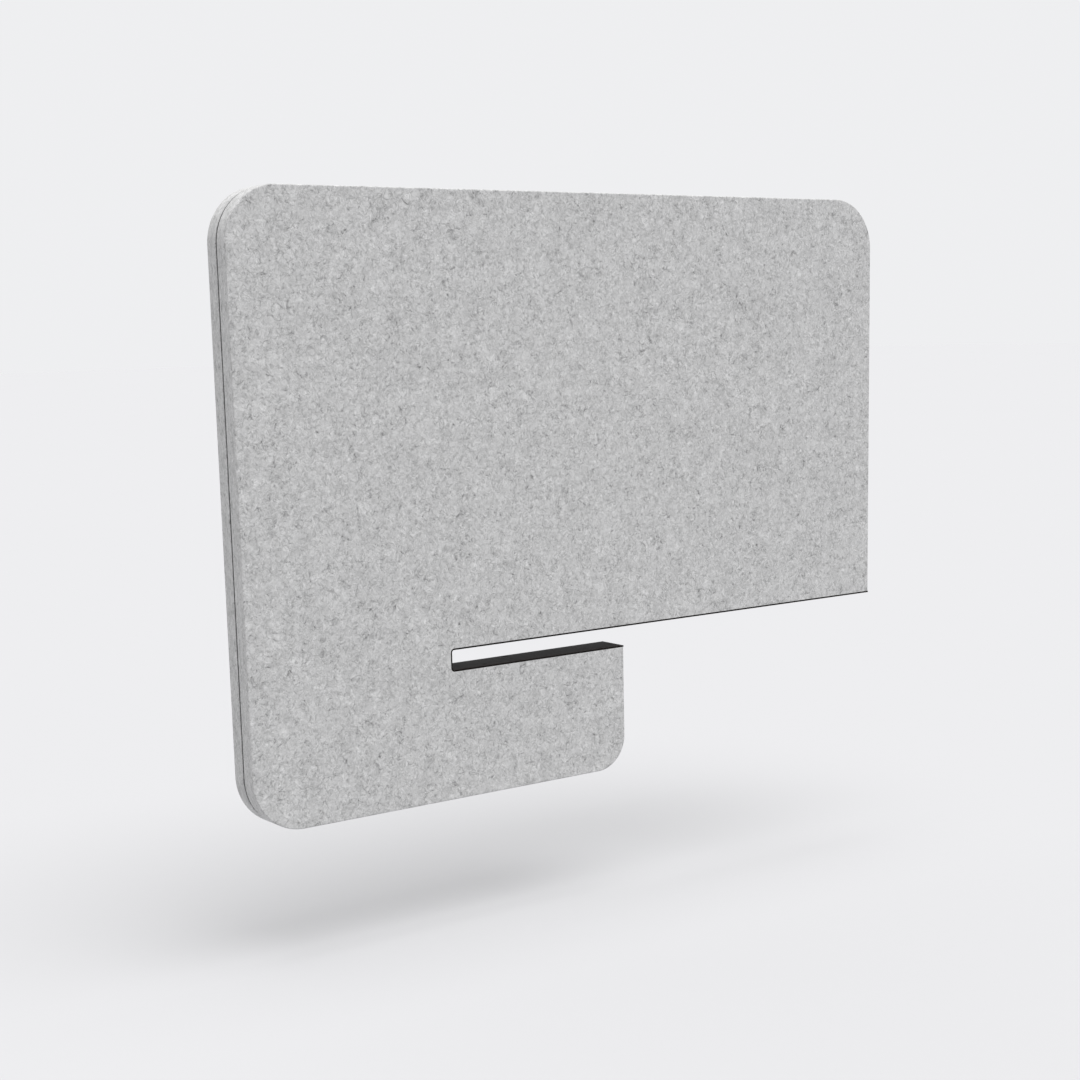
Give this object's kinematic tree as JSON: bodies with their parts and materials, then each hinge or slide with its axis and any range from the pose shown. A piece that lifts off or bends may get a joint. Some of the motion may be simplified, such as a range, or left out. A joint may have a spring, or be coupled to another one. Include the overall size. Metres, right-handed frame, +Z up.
{
  "type": "acoustic divider screen",
  "caption": "Slide-on acoustic desk divider: felt boards on a thin core, with a lined slot that takes the desk top between a long upper arm and a short leg.",
  "frame": {"origin": "centre of the face that rests on the desk top: half way along the slot's depth and half way through the screen's thickness", "axes": "+X along the screen from the slot's closed end to its mouth, +Y through the thickness from the front board to the rear board, +Z up"},
  "size_m": [1, 0.045, 0.74],
  "materials": {
    "felt": "light grey marbled pressed polyester felt, matt, with darker flecks and curled fibres",
    "liner_rubber": "near-black extruded rubber, satin",
    "seam_foam": "black closed-cell foam, matt",
    "core_metal": "black anodised aluminium sheet",
    "clip_plastic": "natural moulded nylon",
    "fastener_steel": "bright zinc-plated steel"
  },
  "bodies": {
    "root": {"front_board": "felt", "rear_board": "felt", "slot_liner": "liner_rubber", "seam_strip": "seam_foam", "core_plate": "core_metal", "push_clips": "clip_plastic", "board_screws": "fastener_steel", "dowels": "fastener_steel"}
  },
  "joints": []
}
